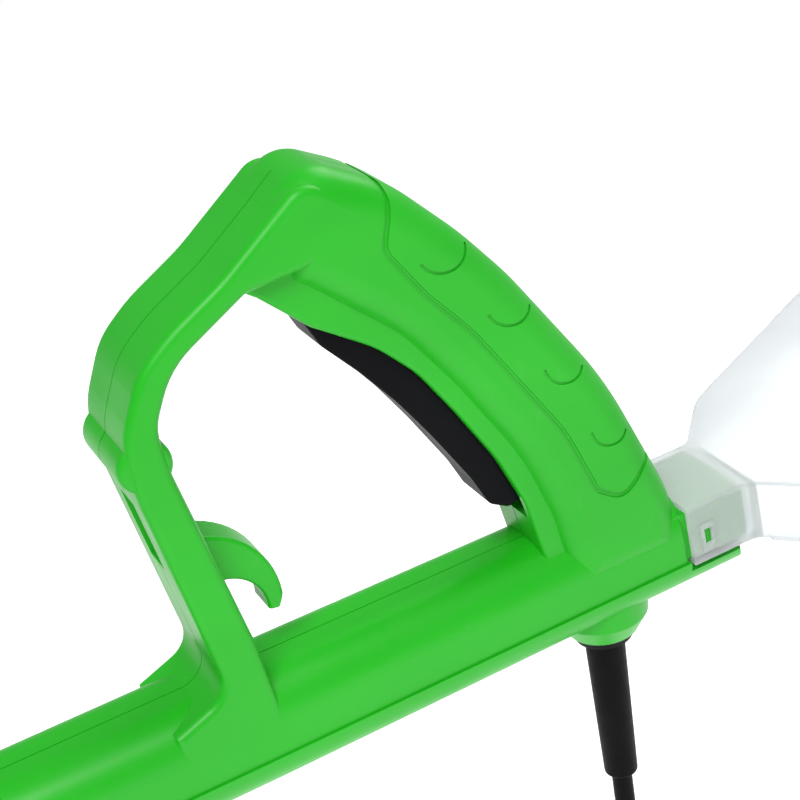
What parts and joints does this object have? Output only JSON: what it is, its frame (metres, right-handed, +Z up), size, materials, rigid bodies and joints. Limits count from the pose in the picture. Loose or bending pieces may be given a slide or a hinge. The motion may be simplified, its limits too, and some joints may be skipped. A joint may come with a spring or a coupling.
{
  "type": "string trimmer",
  "caption": "Corded string trimmer: green D handle with black trigger, clip-on translucent rear guard, straight shaft and tap-feed line head under a guard.",
  "frame": {"origin": "middle of the hand grip", "axes": "+X along the shaft from the line head to the rear end, +Y to the user's right, +Z up, square to the shaft"},
  "size_m": [1.1401, 0.253, 0.4837],
  "materials": {
    "green_plastic": "satin",
    "soft_green": "satin",
    "black_plastic": "satin",
    "black_rubber": "satin",
    "translucent_plastic": "translucent",
    "steel": "zinc plated",
    "spring_steel": "bright",
    "aluminium": "anodised",
    "motor_steel": "zinc plated",
    "brass": "bright",
    "line_nylon": "gloss",
    "film_blue": "gloss",
    "white_plastic": "satin"
  },
  "bodies": {
    "handle": {"housing_left": "green_plastic", "housing_right": "green_plastic", "grip_inlay": "soft_green", "housing_screws": "steel", "trigger_pin": "steel", "trigger_spring": "spring_steel", "switch_body": "black_plastic", "capacitor": "film_blue", "terminal_block": "white_plastic", "motor_cable": "black_rubber", "cord_boot": "black_rubber", "cord_clamp": "black_plastic", "clamp_screws": "steel", "cord": "black_rubber", "plug": "black_rubber", "plug_pins": "brass", "rear_guard": "translucent_plastic", "shaft_tube": "aluminium", "nose_collar": "black_plastic", "head_housing_left": "green_plastic", "head_housing_right": "green_plastic", "head_screws": "steel", "motor_can": "motor_steel", "motor_ring_lower": "black_rubber", "motor_ring_upper": "black_rubber", "line_guard": "black_plastic", "guard_screws": "steel", "line_cutter": "steel"},
    "trigger": {"trigger": "black_plastic"},
    "plunger": {"switch_plunger": "white_plastic"},
    "line_head": {"motor_shaft": "steel", "cooling_fan": "white_plastic", "spool_housing": "black_plastic", "line_eyelets": "steel", "line_tails": "line_nylon", "spool_cover": "black_plastic", "tap_spring": "spring_steel"},
    "line_spool": {"spool": "black_plastic", "wound_line": "line_nylon"},
    "tap_knob": {"tap_knob": "green_plastic"}
  },
  "joints": [
    {"name": "trigger_pull", "type": "hinge", "parent": "handle", "child": "trigger", "pos_m": [-0.0395, 0, 0.0346], "axis": [0, -1, 0], "range_deg": [0, 5.5], "stiffness_Nm_per_rad": 1.5, "springref_deg": -5.73, "deforming": ["trigger_spring"]},
    {"name": "plunger_slide", "type": "slide", "parent": "handle", "child": "plunger", "axis": [0.793, 0, 0.6093], "range_m": [0, 0.00405]},
    {"name": "head_spin", "type": "hinge", "parent": "handle", "child": "line_head", "pos_m": [-0.862, 0, -0.0874], "axis": [0.5736, 0, 0.8192], "continuous": true},
    {"name": "spool_feed", "type": "hinge", "parent": "line_head", "child": "line_spool", "pos_m": [-0.862, 0, -0.0874], "axis": [0.5736, 0, 0.8192], "continuous": true},
    {"name": "tap_feed", "type": "slide", "parent": "line_head", "child": "tap_knob", "axis": [0.5736, 0, 0.8192], "range_m": [0, 0.004], "stiffness_N_per_m": 800, "springref_m": -0.003, "deforming": ["tap_spring"]}
  ],
  "couplings": [
    {"joint": "plunger_slide", "follows": "trigger_pull", "m_per_rad": 0.042183}
  ]
}
